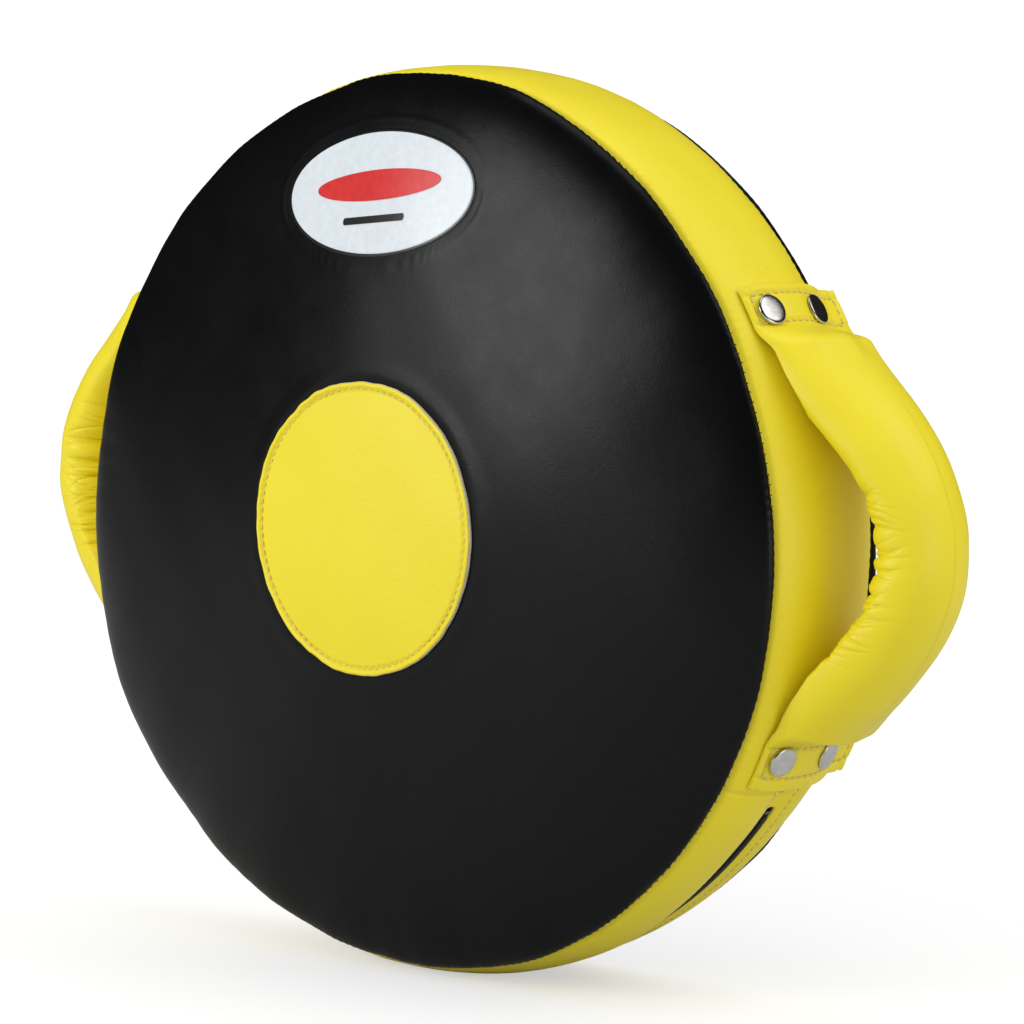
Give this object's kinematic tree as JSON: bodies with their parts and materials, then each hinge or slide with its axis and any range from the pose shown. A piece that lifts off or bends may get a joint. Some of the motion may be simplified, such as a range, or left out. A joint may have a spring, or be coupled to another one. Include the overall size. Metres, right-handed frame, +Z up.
{
  "type": "round kick shield",
  "caption": "Round padded martial arts kick shield with a domed leather strike face, a target disc, a padded grip on each side and a zipped wall.",
  "frame": {"origin": "centre of the bounding box's bottom, on the floor under the drum, which stands on its edge", "axes": "-Y out of the strike face, +X towards the grip on the right as seen from the front, +Z up"},
  "size_m": [0.5671, 0.1228, 0.4365],
  "materials": {
    "black_leather": "satin",
    "yellow_leather": "satin",
    "label_vinyl": "satin",
    "impact_foam": "matte",
    "core_foam": "matte",
    "backing_foam": "matte",
    "grip_foam": "matte",
    "webbing": "matte",
    "split_leather": "matte",
    "nickel": "polished",
    "zip_tape": "matte",
    "zip_coil": "satin",
    "zip_metal": "satin"
  },
  "bodies": {
    "drum": {"back_panel": "black_leather", "backing_foam": "backing_foam", "core_foam": "core_foam", "front_panel": "black_leather", "grip_tab_left_lower": "yellow_leather", "grip_tab_left_upper": "yellow_leather", "grip_tab_right_lower": "yellow_leather", "grip_tab_right_upper": "yellow_leather", "impact_foam": "impact_foam", "label_patch": "label_vinyl", "reinforcement_left_lower": "split_leather", "reinforcement_left_upper": "split_leather", "reinforcement_right_lower": "split_leather", "reinforcement_right_upper": "split_leather", "rivet_back_left_lower_front": "nickel", "rivet_back_left_lower_rear": "nickel", "rivet_back_left_upper_front": "nickel", "rivet_back_left_upper_rear": "nickel", "rivet_back_right_lower_front": "nickel", "rivet_back_right_lower_rear": "nickel", "rivet_back_right_upper_front": "nickel", "rivet_back_right_upper_rear": "nickel", "rivet_left_lower_front": "nickel", "rivet_left_lower_rear": "nickel", "rivet_left_upper_front": "nickel", "rivet_left_upper_rear": "nickel", "rivet_right_lower_front": "nickel", "rivet_right_lower_rear": "nickel", "rivet_right_upper_front": "nickel", "rivet_right_upper_rear": "nickel", "target_disc": "yellow_leather", "wall_lower_front": "yellow_leather", "wall_lower_rear": "yellow_leather", "wall_upper": "yellow_leather", "zip_coil_front": "zip_coil", "zip_coil_rear": "zip_coil", "zip_end_cover_left": "yellow_leather", "zip_end_cover_right": "yellow_leather", "zip_stop_left": "zip_metal", "zip_stop_right": "zip_metal", "zip_tape_front": "zip_tape", "zip_tape_rear": "zip_tape"},
    "grip_right": {"grip_cover_right": "yellow_leather", "grip_foam_right": "grip_foam", "grip_webbing_right": "webbing"},
    "grip_left": {"grip_cover_left": "yellow_leather", "grip_foam_left": "grip_foam", "grip_webbing_left": "webbing"},
    "zip_slider": {"zip_slider": "zip_metal"},
    "zip_pull": {"zip_pull": "zip_metal"}
  },
  "joints": [
    {"name": "grip_right_swing", "type": "hinge", "parent": "drum", "child": "grip_right", "pos_m": [0.207, 0.01935, 0.21505], "axis": [0, 0, 1], "range_deg": [-10, 10]},
    {"name": "grip_left_swing", "type": "hinge", "parent": "drum", "child": "grip_left", "pos_m": [-0.20627, 0.01935, 0.23238], "axis": [0.0837, 0, 0.9965], "range_deg": [-10, 10]},
    {"name": "zip_slide", "type": "hinge", "parent": "drum", "child": "zip_slider", "pos_m": [0, 0.01535, 0.23263], "axis": [0, -1, 0], "range_deg": [0, 100.8]},
    {"name": "zip_pull_flip", "type": "hinge", "parent": "zip_slider", "child": "zip_pull", "pos_m": [-0.18198, 0.01535, 0.08208], "axis": [0, 1, 0], "range_deg": [-34, 135]}
  ]
}
